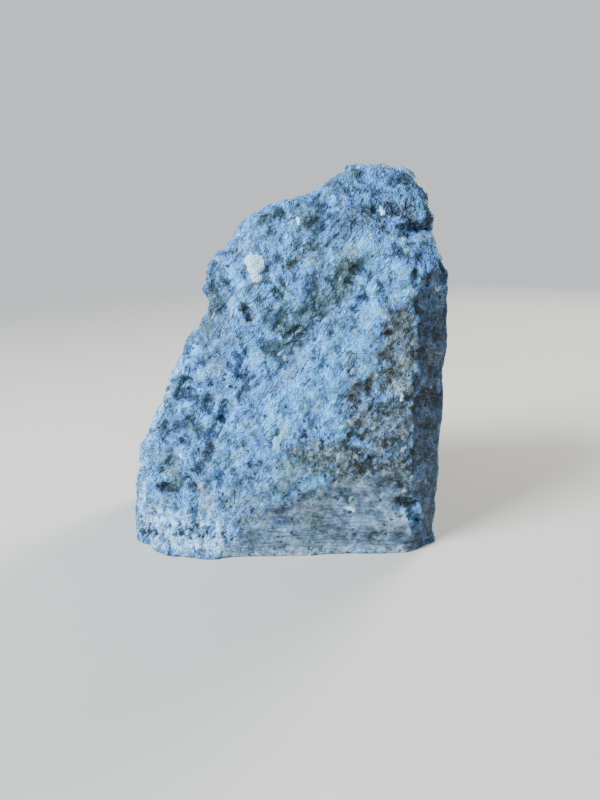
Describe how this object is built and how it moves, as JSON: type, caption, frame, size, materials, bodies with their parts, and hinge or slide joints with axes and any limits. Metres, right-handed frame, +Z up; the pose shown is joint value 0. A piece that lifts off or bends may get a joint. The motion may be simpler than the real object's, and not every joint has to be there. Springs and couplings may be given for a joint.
{
  "type": "soapstone block",
  "caption": "Rough block of soapstone for carving: sawn flat underneath and low on the front, broken everywhere else, with a rounded top on the right and a slope on the left.",
  "frame": {"origin": "middle of the block's bounding box, on the flat sawn foot", "axes": "+Z up through the block's height, +X to the right of the sawn front face, +Y from the front face to the back"},
  "size_m": [0.1298, 0.0896, 0.154],
  "materials": {
    "soapstone": "unpolished blue-grey soapstone with green patches, dark specks and pale talc on its sawn edges"
  },
  "bodies": {
    "root": {"soapstone_block": "soapstone"}
  },
  "joints": []
}
